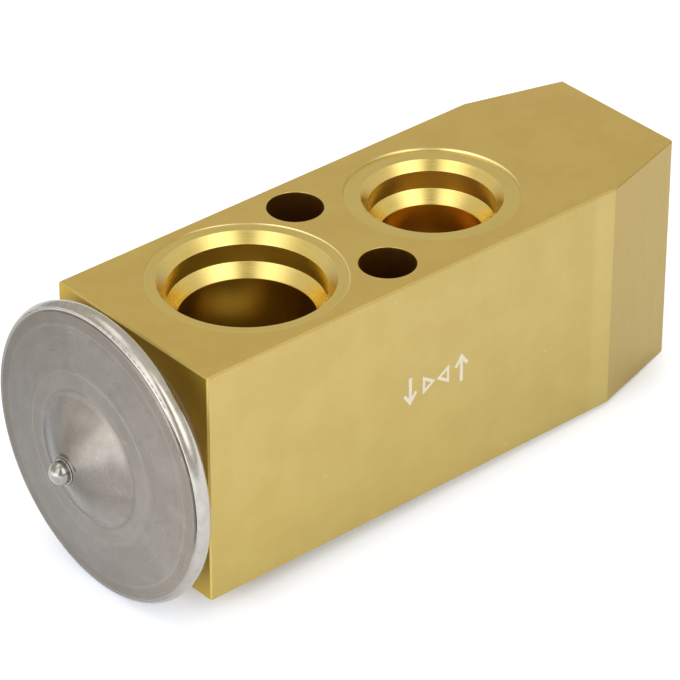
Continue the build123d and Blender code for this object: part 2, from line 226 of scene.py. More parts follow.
def gold_block():
    """Gold anodised aluminium: satin faces, turned ports, bores darkened as painted shade, edges paler from wear and
    painted highlight.
    """
    g = Graph("gold_anodised")
    mm = g.mm
    # distance from each port's axis
    rs, cs, ss = g.polar(g.math("SUBTRACT", g.x, SUCTION_X), g.y)
    rl, cl, sl = g.polar(g.math("SUBTRACT", g.x, LIQUID_X), g.y)
    ri, ci, si = g.polar(g.math("SUBTRACT", g.x, INLET_X), g.y)
    upper = g.math("GREATER_THAN", g.z, 15.6)
    lower = g.math("SUBTRACT", 1.0, upper)
    # depth below the nearer port face, so walls inside the block are told from its outer faces
    depth = g.math("MINIMUM", g.math("SUBTRACT", BLOCK_H, g.z), g.z)
    inside = g.math("GREATER_THAN", depth, 0.03)
    in_s = g.math("LESS_THAN", rs, 10.78)
    in_l = g.math("MULTIPLY", g.math("LESS_THAN", rl, 8.73), upper)
    in_i = g.math("MULTIPLY", g.math("LESS_THAN", ri, 7.23), lower)
    spot_s = g.math("LESS_THAN", rs, 12.21)
    spot_l = g.math("MULTIPLY", g.math("LESS_THAN", rl, 10.91), upper)
    spot_i = g.math("MULTIPLY", g.math("LESS_THAN", ri, 9.21), lower)
    turned = g.math("MULTIPLY", g.math("MAXIMUM", in_s, g.math("MAXIMUM", in_l, in_i)), inside)
    spot = g.math("MULTIPLY", g.math("MAXIMUM", spot_s, g.math("MAXIMUM", spot_l, spot_i)), inside)
    bore_s = g.math("MULTIPLY", g.math("LESS_THAN", rs, 8.5), g.smooth(depth, 5.2, 5.6))
    bore_l = g.math("MULTIPLY", g.math("MULTIPLY", g.math("LESS_THAN", rl, 6.65), upper), g.smooth(depth, 5.3, 5.7))
    r_b1, _, _ = g.polar(g.x, g.math("SUBTRACT", g.math("ABSOLUTE", g.y), 8.4))
    wall_s = g.math("MULTIPLY", g.band(rs, 9.6, 0.12, 0.1), g.band(depth, 2.57, 1.05, 0.15))
    wall_l = g.math("MULTIPLY", g.math("MULTIPLY", g.band(rl, 7.8, 0.12, 0.1), upper), g.band(depth, 2.70, 1.08, 0.15))
    bolt = g.math("MULTIPLY", g.math("LESS_THAN", r_b1, 3.52), g.smooth(depth, 0.06, 0.5))

    # streaks round the port axes
    r_port = g.mixf(spot_l, rs, rl)
    c_port = g.mixf(spot_l, cs, cl)
    s_port = g.mixf(spot_l, ss, sl)
    ring_vec = g.combine(g.math("MULTIPLY", c_port, 1.2), g.math("MULTIPLY", s_port, 1.2), g.math("MULTIPLY", r_port, 5.0))
    rings = g.noise(ring_vec, 1.0, detail=3.0, rough=0.6, dims="4D", w=g.math("MULTIPLY", g.z, 6.0))

    # satin faces: slow mottling, a fine grain, faint drawn lines along the block
    blotch = g.noise(mm, 0.16, detail=3.0, rough=0.55)
    cloud = g.noise(mm, 0.9, detail=3.0, rough=0.6)
    grain = g.noise(mm, 6.0, detail=3.0, rough=0.65)
    drawn_vec = g.combine(g.math("MULTIPLY", g.x, 0.9), g.math("MULTIPLY", g.y, 0.9), g.math("MULTIPLY", g.z, 0.05))
    drawn = g.noise(drawn_vec, 1.0, detail=3.0, rough=0.6)
    # few small pits and pale flecks
    pits = g.voronoi(mm, 0.42)
    pick = g.tree.nodes.new("ShaderNodeSeparateColor")
    g.link(pits.outputs["Color"], pick.inputs[0])
    pit_here = g.math("MULTIPLY", g.smooth(pits.outputs["Distance"], 0.035, 0.075, 1.0, 0.0), g.math("GREATER_THAN", pick.outputs[0], 0.78))
    fleck_vec = g.combine(g.math("MULTIPLY", g.x, 0.11), g.math("MULTIPLY", g.y, 0.30), g.math("MULTIPLY", g.z, 0.30))
    flecks = g.voronoi(fleck_vec, 1.0)
    pick2 = g.tree.nodes.new("ShaderNodeSeparateColor")
    g.link(flecks.outputs["Color"], pick2.inputs[0])
    off_taper = g.math("ADD", g.math("MULTIPLY", g.math("SUBTRACT", g.x, TAPER_X), 0.2743), g.math("MULTIPLY", g.math("SUBTRACT", g.math("ABSOLUTE", g.y), BLOCK_W / 2), 0.9617))
    on_taper = g.math("MULTIPLY", g.band(off_taper, 0.0, 0.02, 0.08), g.math("GREATER_THAN", g.x, TAPER_X + 0.01))
    fleck_here = g.math("MULTIPLY", g.smooth(flecks.outputs["Distance"], 0.02, 0.06, 1.0, 0.0), g.math("GREATER_THAN", pick2.outputs[1], 0.82))

    # colours
    face = g.mix(g.smooth(blotch, 0.35, 0.65), GOLD_A, GOLD_B)
    face = g.mix(g.linear(cloud, 0.25, 0.75, 0.0, 0.30), face, GOLD_C)
    face = g.mix(g.linear(drawn, 0.3, 0.7, 0.0, 0.16), face, GOLD_D)
    side_face = g.math("GREATER_THAN", g.math("ABSOLUTE", g.y), BLOCK_W / 2 - 0.04)
    # painted shade: the side faces are darker and less blue towards the tail and towards the bottom
    along = g.math("MULTIPLY", g.linear(g.x, -32.0, 34.0, 0.875, 0.765), g.linear(g.z, 0.0, 22.0, 0.945, 1.0))
    side_shade = g.vmath("MULTIPLY", g.combine(along, along, along), g.combine(1.0, 0.985, g.math("MULTIPLY", g.linear(g.x, -32.0, 34.0, 0.98, 0.74), g.linear(g.z, 0.0, 20.0, 0.62, 1.0))))
    face = g.mix(side_face, face, g.vmath("MULTIPLY", face, side_shade))
    # painted light: the top face and the spot faces are tinted warmer and less blue, standing in for warm light from
    # above
    top_face = g.math("MAXIMUM", g.smooth(g.z, BLOCK_H - 0.03, BLOCK_H - 0.01), spot)
    face = g.mix(top_face, face, g.vmath("MULTIPLY", face, g.combine(1.03, 0.985, 0.78)))
    # painted highlight: a faint lighter band on the side faces just before the taper
    before_taper = g.math("MULTIPLY", g.band(g.x, TAPER_X - 1.7, 1.0, 1.2), side_face)
    face = g.mix(g.math("MULTIPLY", before_taper, 0.10), face, (0.72, 0.58, 0.20))
    front_face = g.math("LESS_THAN", g.x, FRONT_X + 0.05)
    # painted shade: the tapered faces are much darker gold
    face = g.mix(g.math("MULTIPLY", on_taper, 0.9), face, g.mix(g.linear(drawn, 0.3, 0.7), (0.350, 0.232, 0.026), (0.372, 0.250, 0.036)))
    # painted shade: the front face, behind the head, is darker and more saturated
    face = g.mix(g.math("MULTIPLY", front_face, 0.6), face, (0.560, 0.385, 0.050))
    face = g.mix(g.math("MULTIPLY", pit_here, 0.55), face, (0.34, 0.24, 0.06))
    face = g.mix(g.math("MULTIPLY", fleck_here, 0.18), face, (0.84, 0.72, 0.36))
    spot_col = g.mix(g.linear(rings, 0.3, 0.7), (0.600, 0.455, 0.090), (0.660, 0.520, 0.130))
    face = g.mix(g.math("MULTIPLY", spot, 0.65), face, spot_col)
    turned_col = g.mix(g.linear(rings, 0.3, 0.7), (0.750, 0.575, 0.155), (0.800, 0.625, 0.200))
    # painted shade: the near halves of the cones are darker
    far_side = g.math("ADD", g.math("MULTIPLY", c_port, 0.6554), g.math("MULTIPLY", s_port, 0.7553))
    turned_col = g.mix(g.smooth(far_side, -0.05, 0.45, 1.0, 0.0), turned_col, g.vmath("MULTIPLY", turned_col, g.combine(0.80, 0.78, 0.72)))
    colour = g.mix(turned, face, turned_col)
    # painted highlight: a pale line along the spot-face steps, brightest on their lit arc
    step_s = g.band(rs, 12.12, 0.07, 0.02)
    step_l = g.math("MULTIPLY", g.band(rl, 10.82, 0.08, 0.02), upper)
    step = g.math("MULTIPLY", g.math("MAXIMUM", step_s, step_l), g.band(depth, 0.12, 0.09, 0.02))
    lit_arc = g.math("ADD", g.math("MULTIPLY", c_port, 0.970), g.math("MULTIPLY", s_port, 0.242))
    colour = g.mix(g.math("MULTIPLY", step, g.smooth(lit_arc, 0.10, 0.75, 0.08, 0.75)), colour, (0.96, 0.84, 0.46))
    colour = g.mix(wall_s, colour, g.mix(g.linear(rings, 0.3, 0.7), (0.960, 0.700, 0.110), (0.980, 0.725, 0.120)))
    # painted shade: the bores and bolt holes are darker and more saturated inside
    bore_rings = g.linear(rings, 0.3, 0.7)
    colour = g.mix(bore_s, colour, g.mix(bore_rings, (0.465, 0.272, 0.032), (0.490, 0.290, 0.038)))
    colour = g.mix(bore_l, colour, g.mix(bore_rings, (0.650, 0.370, 0.056), (0.675, 0.392, 0.064)))
    colour = g.mix(bolt, colour, g.mix(g.linear(grain, 0.3, 0.7), (0.520, 0.290, 0.060), (0.620, 0.370, 0.085)))
    # edges, paler: rubbed wear and a painted highlight
    dy = g.math("SUBTRACT", BLOCK_W / 2, g.math("ABSOLUTE", g.y))
    dz = g.math("SUBTRACT", BLOCK_H / 2, g.math("ABSOLUTE", g.math("SUBTRACT", g.z, BLOCK_H / 2)))
    dx = g.math("MINIMUM", g.math("SUBTRACT", g.x, FRONT_X), g.math("SUBTRACT", TAIL_X, g.x))
    e1 = g.math("MAXIMUM", dy, dz)
    e2 = g.math("MAXIMUM", dy, dx)
    e3 = g.math("MAXIMUM", dz, dx)
    near_edge = g.math("MINIMUM", e1, g.math("MINIMUM", e2, e3))
    ragged = g.math("ADD", near_edge, g.math("MULTIPLY", g.math("SUBTRACT", g.noise(mm, 2.2, detail=4.0, rough=0.7), 0.5), 0.22))
    edge_wear_highlight = g.smooth(ragged, 0.14, 0.28, 1.0, 0.0)
    colour = g.mix(g.math("MULTIPLY", edge_wear_highlight, 0.18), colour, (0.80, 0.67, 0.30))

    # roughness
    rough = g.linear(cloud, 0.2, 0.8, 0.31, 0.38)
    rough = g.math("ADD", rough, g.linear(grain, 0.2, 0.8, -0.03, 0.03))
    rough = g.mixf(g.math("MULTIPLY", spot, 0.7), rough, g.linear(rings, 0.2, 0.8, 0.26, 0.36))
    rough = g.mixf(turned, rough, g.linear(rings, 0.2, 0.8, 0.20, 0.32))
    in_bore = g.math("MAXIMUM", g.math("MAXIMUM", bore_s, bore_l), g.math("MAXIMUM", g.math("MAXIMUM", wall_s, wall_l), bolt))
    rough = g.mixf(in_bore, rough, g.linear(rings, 0.2, 0.8, 0.30, 0.33))
    rough = g.mixf(front_face, rough, g.linear(grain, 0.2, 0.8, 0.52, 0.62))
    rough = g.mixf(g.math("MULTIPLY", edge_wear_highlight, 0.45), rough, 0.50)
    rough = g.mixf(g.math("MULTIPLY", pit_here, 0.6), rough, 0.6)

    # relief
    height = g.math("ADD", g.math("MULTIPLY", grain, 0.55), g.math("MULTIPLY", cloud, 0.35))
    height = g.math("SUBTRACT", height, g.math("MULTIPLY", pit_here, 3.0))
    turn_h = g.math("MULTIPLY", rings, g.mixf(in_bore, 0.65, 0.08))
    height = g.mixf(g.math("MAXIMUM", turned, g.math("MULTIPLY", spot, 0.6)), height, turn_h)
    normal = g.bump(height, 0.0000040, 0.6)
    # clear oxide layer, thin where the ports were turned after dyeing
    coat = g.math("SUBTRACT", 1.0, g.math("MULTIPLY", on_taper, 0.65))
    coat = g.mixf(top_face, coat, 0.75)
    coat = g.mixf(turned, coat, 0.6)
    coat = g.mixf(in_bore, coat, 0.0)
    coat = g.mixf(front_face, coat, 0.15)
    g.link(coat, g.bsdf.inputs["Coat Weight"])
    return g.finish(colour, rough, normal, Coat_Roughness=0.22, Coat_IOR=1.65)


def valve_axis_rings(g, rate=3.0, turn=1.2):
    r, c, s = g.polar(g.y, g.math("SUBTRACT", g.z, AXIS_Z))
    vec = g.combine(g.math("MULTIPLY", c, turn), g.math("MULTIPLY", s, turn), g.math("MULTIPLY", r, rate))
    return r, c, s, vec


def head_steel():
    """Pressed stainless steel: smooth dome, dull ringed flange, rolled rim painted bright as a highlight, scuffs."""
    g = Graph("stainless_pressed")
    r, c, s, vec = valve_axis_rings(g, 2.4, 1.1)
    front = g.math("LESS_THAN", g.x, -35.4)
    dome = g.math("MULTIPLY", g.smooth(r, 7.9, 8.7, 1.0, 0.0), front)
    bead = g.smooth(r, 18.02, 18.22)
    rings = g.noise(vec, 1.0, detail=4.0, rough=0.62, dims="4D", w=g.math("MULTIPLY", g.x, 1.5))
    fine_vec = g.combine(g.math("MULTIPLY", c, 3.0), g.math("MULTIPLY", s, 3.0), g.math("MULTIPLY", r, 7.0))
    fine = g.noise(fine_vec, 1.0, detail=3.0, rough=0.6)
    blotch = g.noise(g.mm, 0.20, detail=5.0, rough=0.62, distortion=0.6)
    patch = g.noise(g.mm, 0.55, detail=5.0, rough=0.68, distortion=1.0)
    sway = g.noise(g.mm, 0.42, detail=1.0, rough=0.5)
    grain = g.noise(g.mm, 4.5, detail=4.0, rough=0.75)
    # pale scuffs and dark hair scratches that run round the axis, each only here and there
    scuff_vec = g.combine(g.math("MULTIPLY", c, 7.0), g.math("MULTIPLY", s, 7.0), g.math("MULTIPLY", r, 3.4))
    scuff = g.smooth(g.noise(scuff_vec, 1.0, detail=5.0, rough=0.72), 0.60, 0.74)
    hair_vec = g.combine(g.math("MULTIPLY", c, 3.1), g.math("MULTIPLY", s, 3.1), g.math("MULTIPLY", r, 0.9))
    hair = g.math("ABSOLUTE", g.math("SUBTRACT", g.noise(hair_vec, 1.0, detail=4.0, rough=0.55), 0.5))
    hair = g.smooth(hair, 0.002, 0.011, 1.0, 0.0)
    hair = g.math("MULTIPLY", hair, g.smooth(patch, 0.50, 0.62))
    cross = g.math("ABSOLUTE", g.math("SUBTRACT", g.noise(g.mm, 0.30, detail=5.0, rough=0.6, distortion=1.5), 0.5))
    cross = g.math("MULTIPLY", g.smooth(cross, 0.001, 0.006, 1.0, 0.0), g.smooth(blotch, 0.52, 0.60))
    specks = g.voronoi(g.mm, 0.8)
    pick = g.tree.nodes.new("ShaderNodeSeparateColor")
    g.link(specks.outputs["Color"], pick.inputs[0])
    speck = g.math("MULTIPLY", g.smooth(specks.outputs["Distance"], 0.05, 0.11, 1.0, 0.0), g.math("GREATER_THAN", pick.outputs[0], 0.80))

    base = g.mix(g.smooth(blotch, 0.38, 0.62), (0.232, 0.216, 0.199), (0.282, 0.265, 0.246))
    base = g.mix(g.math("MULTIPLY", g.linear(patch, 0.35, 0.65, 0.0, 0.40), g.mixf(dome, 1.0, 0.45)), base, (0.330, 0.312, 0.291))
    flat = g.math("SUBTRACT", 1.0, dome)
    base = g.mix(g.math("MULTIPLY", g.linear(rings, 0.3, 0.7, 0.0, 0.45), flat), base, (0.330, 0.311, 0.290))
    base = g.mix(g.math("MULTIPLY", g.linear(fine, 0.35, 0.7, 0.0, 0.30), flat), base, (0.200, 0.184, 0.168))
    base = g.mix(g.math("MULTIPLY", g.band(r, 9.9, 0.9, 0.4), 0.22), base, (0.375, 0.357, 0.334))
    base = g.mix(g.math("MULTIPLY", g.band(r, 16.42, 0.05, 0.16), 0.16), base, (0.430, 0.412, 0.387))
    # painted reflection: a warmer, darker band just inside the rim, where the gold block is reflected
    base = g.mix(g.math("MULTIPLY", g.band(r, 17.35, 0.45, 0.35), 0.32), base, (0.245, 0.206, 0.170))
    # painted shade: a darker line in the crease at the dome's base
    crease_shade = g.math("MULTIPLY", g.band(r, 8.62, 0.05, 0.26), front)
    base = g.mix(g.math("MULTIPLY", crease_shade, 0.22), base, (0.180, 0.158, 0.140))
    base = g.mix(g.math("MULTIPLY", scuff, g.mixf(dome, 0.36, 0.08)), base, (0.560, 0.535, 0.505))
    base = g.mix(g.math("MULTIPLY", hair, 0.45), base, (0.130, 0.115, 0.100))
    base = g.mix(g.math("MULTIPLY", cross, 0.38), base, (0.540, 0.520, 0.490))
    base = g.mix(g.math("MULTIPLY", speck, 0.5), base, (0.150, 0.130, 0.115))
    # painted highlight: the rolled rim is painted brighter
    base = g.mix(g.math("MULTIPLY", bead, 0.75), base, g.mix(g.linear(patch, 0.35, 0.7), (0.430, 0.408, 0.378), (0.540, 0.516, 0.484)))
    # painted reflection: the back of the head is pale and warm, as if lit by the gold block
    back = g.math("MULTIPLY", g.math("GREATER_THAN", g.x, -35.2), g.smooth(r, 17.2, 17.9, 1.0, 0.0))
    base = g.mix(g.math("MULTIPLY", back, 0.8), base, g.mix(g.linear(patch, 0.35, 0.7), (0.460, 0.385, 0.290), (0.520, 0.450, 0.350)))
    # painted light and shade: the steel is darker towards +Y and slightly towards the top; the dome gets a painted
    # highlight towards its top and painted shade towards +Y; the rolled rim is lighter towards the top, with a more
    # neutral tint
    lit = g.linear(g.y, -19.0, 19.0, 1.33, 0.75)
    lit = g.math("MULTIPLY", lit, g.linear(g.z, -3.0, 35.0, 1.14, 0.95))
    lit = g.math("MULTIPLY", lit, g.mixf(g.math("MULTIPLY", dome, g.smooth(g.y, 1.6, 4.2)), 1.0, 0.80))
    dome_painted_light = g.math("MULTIPLY", g.linear(g.y, -7.0, 7.0, 1.05, 0.53), g.linear(g.z, 9.1, 16.0, 1.15, 1.0))
    dome_painted_light = g.math("MULTIPLY", dome_painted_light, g.mixf(g.linear(g.z, 18.0, 23.5, 0.0, 1.0), 1.0, g.mixf(g.smooth(g.y, -2.0, 3.0), 1.28, 2.15)))
    lit = g.math("MULTIPLY", lit, g.mixf(dome, 1.0, dome_painted_light))
    lit = g.math("MULTIPLY", lit, g.mixf(bead, 1.0, g.linear(g.z, -2.0, 34.0, 0.76, 1.44)))
    base = g.vmath("MULTIPLY", base, g.combine(g.math("MULTIPLY", lit, 0.782), g.math("MULTIPLY", lit, g.mixf(bead, 0.757, 0.775)), g.math("MULTIPLY", lit, g.mixf(bead, 0.716, 0.765))))
    # a darker line in the seam, where the fold stands open
    open_side = g.math("SUBTRACT", g.math("MULTIPLY", s, 0.24), g.math("MULTIPLY", c, 0.97))
    seam_dark = g.math("MULTIPLY", g.band(r, 18.13, 0.09, 0.06), g.math("MULTIPLY", g.smooth(open_side, 0.85, 0.95), g.linear(patch, 0.35, 0.55, 0.55, 1.0)))
    base = g.mix(g.math("MULTIPLY", seam_dark, 0.58), base, (0.030, 0.026, 0.022))
    rough = g.math("ADD", g.linear(patch, 0.3, 0.7, 0.27, 0.38), g.linear(rings, 0.2, 0.8, -0.03, 0.04))
    rough = g.mixf(g.math("MULTIPLY", dome, 0.85), rough, g.linear(patch, 0.3, 0.7, 0.22, 0.30))
    rough = g.mixf(bead, rough, g.linear(patch, 0.3, 0.7, 0.16, 0.26))
    rough = g.mixf(back, rough, 0.5)
    rough = g.math("ADD", rough, g.math("MULTIPLY", scuff, 0.07))
    height = g.math("ADD", g.math("MULTIPLY", rings, 0.8), g.math("MULTIPLY", fine, 0.25))
    height = g.math("MULTIPLY", height, g.mixf(dome, 1.0, 0.12))
    height = g.math("ADD", height, g.math("MULTIPLY", grain, 0.35))
    height = g.math("SUBTRACT", height, g.math("MULTIPLY", hair, 0.8))
    height = g.math("SUBTRACT", height, g.math("MULTIPLY", speck, 0.8))
    normal = g.bump(height, 0.0000050, 0.55)
    normal = g.bump(sway, 0.000022, 0.7, normal)
    return g.finish(base, rough, normal)


def polished_steel():
    g = Graph("steel_polished")
    blotch = g.noise(g.mm, 0.9, detail=3.0)
    grain = g.noise(g.mm, 9.0, detail=3.0, rough=0.6)
    colour = g.mix(g.smooth(blotch, 0.3, 0.7), (0.31, 0.30, 0.285), (0.42, 0.41, 0.39))
    rough = g.linear(grain, 0.2, 0.8, 0.08, 0.15)
    normal = g.bump(grain, 0.000003, 0.4)
    return g.finish(colour, rough, normal)


def turned_metal(name, dark, light, low, high, rate=4.0):
    """Metal turned on the valve axis: fine rings on its faces, fine lines round its sides."""
    g = Graph(name)
    r, c, s, vec = valve_axis_rings(g, rate, 0.8)
    rings = g.noise(vec, 1.0, detail=4.0, rough=0.6, dims="4D", w=g.math("MULTIPLY", g.x, rate))
    blotch = g.noise(g.mm, 0.35, detail=3.0)
    colour = g.mix(g.linear(rings, 0.3, 0.7), dark, light)
    colour = g.mix(g.linear(blotch, 0.3, 0.7, 0.0, 0.3), colour, tuple(v * 0.8 for v in dark))
    rough = g.math("ADD", g.linear(rings, 0.2, 0.8, low, high), g.linear(blotch, 0.2, 0.8, -0.03, 0.04))
    normal = g.bump(rings, 0.000008, 0.6)
    return g.finish(colour, rough, normal)


def spring_steel():
    g = Graph("spring_steel")
    grain = g.noise(g.mm, 4.0, detail=4.0, rough=0.6)
    blotch = g.noise(g.mm, 0.5, detail=3.0)
    colour = g.mix(g.smooth(blotch, 0.3, 0.7), (0.36, 0.345, 0.33), (0.47, 0.46, 0.45))
    rough = g.linear(grain, 0.2, 0.8, 0.22, 0.38)
    normal = g.bump(grain, 0.000006, 0.5)
    return g.finish(colour, rough, normal)


def seal_rubber():
    g = Graph("seal_rubber")
    grain = g.noise(g.mm, 7.0, detail=4.0, rough=0.6)
    blotch = g.noise(g.mm, 0.8, detail=3.0)
    colour = g.mix(g.smooth(blotch, 0.3, 0.7), (0.014, 0.050, 0.026), (0.024, 0.074, 0.040))
    rough = g.linear(grain, 0.2, 0.8, 0.42, 0.60)
    normal = g.bump(grain, 0.000010, 0.5)
    return g.finish(colour, rough, normal, metallic=0.0)


def etched_mark():
    g = Graph("etched_mark")
    grain = g.noise(g.mm, 9.0, detail=4.0, rough=0.7)
    lines = g.noise(g.combine(g.math("MULTIPLY", g.x, 1.5), g.y, g.math("MULTIPLY", g.z, 9.0)), 1.0, detail=3.0)
    colour = g.mix(g.smooth(grain, 0.35, 0.65), (0.64, 0.585, 0.485), (0.75, 0.70, 0.61))
    colour = g.mix(g.linear(lines, 0.35, 0.7, 0.0, 0.35), colour, (0.74, 0.62, 0.36))
    rough = g.linear(grain, 0.2, 0.8, 0.55, 0.75)
    normal = g.bump(grain, 0.000006, 0.5)
    return g.finish(colour, rough, normal, metallic=0.15)


GOLD_A, GOLD_B = (0.565, 0.403, 0.068), (0.600, 0.438, 0.091)
GOLD_C, GOLD_D = (0.634, 0.470, 0.118), (0.522, 0.362, 0.048)

GOLD = gold_block()
HEAD = head_steel()
POLISHED = polished_steel()
SPRING = spring_steel()
RUBBER = seal_rubber()
BRASS = turned_metal("brass_turned", (0.62, 0.44, 0.17), (0.74, 0.56, 0.25), 0.22, 0.36)
ALU = turned_metal("aluminium_turned", (0.62, 0.62, 0.61), (0.76, 0.76, 0.75), 0.26, 0.40)
MARK = etched_mark()

finish_of = {
    "valve_body": GOLD,
    "head_cap": HEAD,
    "head_base": HEAD,
    "sealing_ball": POLISHED,
    "diaphragm": SPRING,
    "head_seal": RUBBER,
    "stopper_plate": BRASS,
    "sensing_rod": ALU,
    "push_pin": POLISHED,
    "valve_ball": POLISHED,
    "ball_holder": BRASS,
    "damping_ring": SPRING,
    "pin_o_ring": RUBBER,
    "pin_washer": BRASS,
    "pin_retainer": SPRING,
    "superheat_spring": SPRING,
    "adjusting_nut": BRASS,
    "adjusting_o_ring": RUBBER,
}
for name, mat in finish_of.items():
    data = nodes[name].data
    if len(data.materials) == 0:
        data.materials.append(mat)
    for i in range(len(data.materials)):
        data.materials[i] = mat


# ------------------------------------------------------------------ etched marks
# Two flow arrows with a plain valve symbol between them, on the near side.
MARK_OUT, MARK_IN = -BLOCK_W / 2 - 0.012, -BLOCK_W / 2 + 0.03


def plate(bm, points, faces):
    """Adds a closed plate: points are (x, z) in the face, faces are its convex pieces."""
    outer = [bm.verts.new((x * MM, MARK_OUT * MM, z * MM)) for x, z in points]
    inner = [bm.verts.new((x * MM, MARK_IN * MM, z * MM)) for x, z in points]
    sides = {}
    for face in faces:
        bm.faces.new([outer[i] for i in face])
        bm.faces.new([inner[i] for i in reversed(face)])
        for a, b in zip(face, face[1:] + face[:1]):
            key = (min(a, b), max(a, b))
            sides[key] = None if key in sides else (a, b)
    for pair in sides.values():
        if pair is not None:
            a, b = pair
            bm.faces.new((outer[b], outer[a], inner[a], inner[b]))


def mark(name, plates):
    bm = bmesh.new()
    for points, faces in plates:
        plate(bm, points, faces)
    bmesh.ops.recalc_face_normals(bm, faces=bm.faces)
    me = bpy.data.meshes.new(name)
    bm.to_mesh(me)
    bm.free()
    me.materials.append(MARK)
    ob = bpy.data.objects.new(name, me)
    scene.collection.objects.link(ob)
    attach(ob, "block")
    return ob


def arrow(cx, cz, length, up):
    """Flow arrow with a stem and two barbs."""
    h = length / 2
    pts = [
        (0, h), (1.12, h - 1.50), (0.76, h - 1.78), (0.25, h - 1.10), (0.25, -h),
        (-0.25, -h), (-0.25, h - 1.10), (-0.76, h - 1.78), (-1.12, h - 1.50),
    ]
    sign = 1 if up else -1
    faces = [[0, 1, 2, 3], [0, 3, 6], [0, 6, 7, 8], [3, 4, 5, 6]]
    return ([(cx + sign * x, cz + sign * z) for x, z in pts], faces)


def hollow_triangle(cx, cz, side):
    """Half of the valve symbol: a triangle of even line width whose tip is at the middle."""
    out = [(0.0, 0.0), (2.05, 1.30), (2.05, -1.30)]
    inn = [(0.78, 0.0), (1.68, 0.60), (1.68, -0.60)]
    pts = [(cx + side * x, cz + z) for x, z in out + inn]
    return (pts, [[0, 1, 4, 3], [1, 2, 5, 4], [2, 0, 3, 5]])


mark("flow_arrow_down", [arrow(-1.0, 16.05, 3.9, False)])
mark("valve_symbol", [hollow_triangle(3.03, 16.05, -1), hollow_triangle(3.17, 16.05, 1)])
mark("flow_arrow_up", [arrow(7.2, 16.05, 3.9, True)])


# ------------------------------------------------------------------ rolled seam
def rolled_seam():
    """Fills the groove between the folded lip and the cap; sunk deeper on one side."""
    turns = 768
    full = [(-5.600, 17.985), (-5.612, 18.06), (-5.600, 18.14), (-5.575, 18.22), (-5.545, 18.29), (-5.510, 18.35), (-5.40, 18.30), (-5.40, 18.08)]
    sunk = [(-5.600, 17.985), (-5.500, 18.06), (-5.290, 18.13), (-5.290, 18.215), (-5.38, 18.28), (-5.42, 18.33), (-5.18, 18.25), (-5.35, 18.07)]
    bm = bmesh.new()
    rows = []
    for i in range(turns):
        a = 2 * math.pi * i / turns
        # a = 0 points to -Y, then on towards +Z
        off = math.degrees(math.atan2(math.sin(a - math.radians(15)), math.cos(a - math.radians(15))))
        k = max(0.0, 1.0 - abs(off) / 32.0)
        k = k * k * (3 - 2 * k)
        k = min(1.0, 1.25 * k) * (0.88 + 0.12 * math.sin(9 * a)) + 0.02 * (1 + math.sin(23 * a + 1.0))
        row = []
        for (d0, r0), (d1, r1) in zip(full, sunk):
            d = d0 + (d1 - d0) * k
            r = r0 + (r1 - r0) * k
            row.append(bm.verts.new(((FRONT_X + d) * MM, -r * math.cos(a) * MM, (AXIS_Z + r * math.sin(a)) * MM)))
        rows.append(row)
    for i in range(turns):
        here, there = rows[i], rows[(i + 1) % turns]
        for j in range(len(here)):
            q = (j + 1) % len(here)
            bm.faces.new((here[j], there[j], there[q], here[q]))
    bmesh.ops.recalc_face_normals(bm, faces=bm.faces)
    me = bpy.data.meshes.new("rolled_seam")
    bm.to_mesh(me)
    bm.free()
    for face in me.polygons:
        face.use_smooth = True
    me.materials.append(HEAD)
    ob = bpy.data.objects.new("rolled_seam", me)
    scene.collection.objects.link(ob)
    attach(ob, "block")


rolled_seam()


def ball_weld():
    """Thin bright ring left by the resistance weld between the ball and its collar."""
    turns, around = 96, 12
    bm = bmesh.new()
    rows = []
    for i in range(turns):
        a = 2 * math.pi * i / turns
        thick = 0.105 + 0.012 * math.sin(5 * a) + 0.008 * math.sin(13 * a + 0.7)
        row = []
        for j in range(around):
            b = 2 * math.pi * j / around
            r = 1.475 + thick * math.cos(b)
            d = -10.44 + thick * math.sin(b)
            row.append(bm.verts.new(((FRONT_X + d) * MM, -r * math.cos(a) * MM, (AXIS_Z + r * math.sin(a)) * MM)))
        rows.append(row)
    for i in range(turns):
        here, there = rows[i], rows[(i + 1) % turns]
        for j in range(around):
            q = (j + 1) % around
            bm.faces.new((here[j], there[j], there[q], here[q]))
    bmesh.ops.recalc_face_normals(bm, faces=bm.faces)
    me = bpy.data.meshes.new("ball_weld")
    bm.to_mesh(me)
    bm.free()
    for face in me.polygons:
        face.use_smooth = True
    me.materials.append(POLISHED)
    ob = bpy.data.objects.new("ball_weld", me)
    scene.collection.objects.link(ob)
    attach(ob, "block")


ball_weld()


# --------------------------------------------------------------- superheat spring
# One coil in two pieces, cut between the holder's end and the nut's end.
SPRING_A, SPRING_B, SPRING_CUT = FRONT_X + 60.43, FRONT_X + 68.87, FRONT_X + 63.03
SPRING_R, SPRING_WIRE_R, SPRING_PITCH = 4.0, 0.58, 1.92


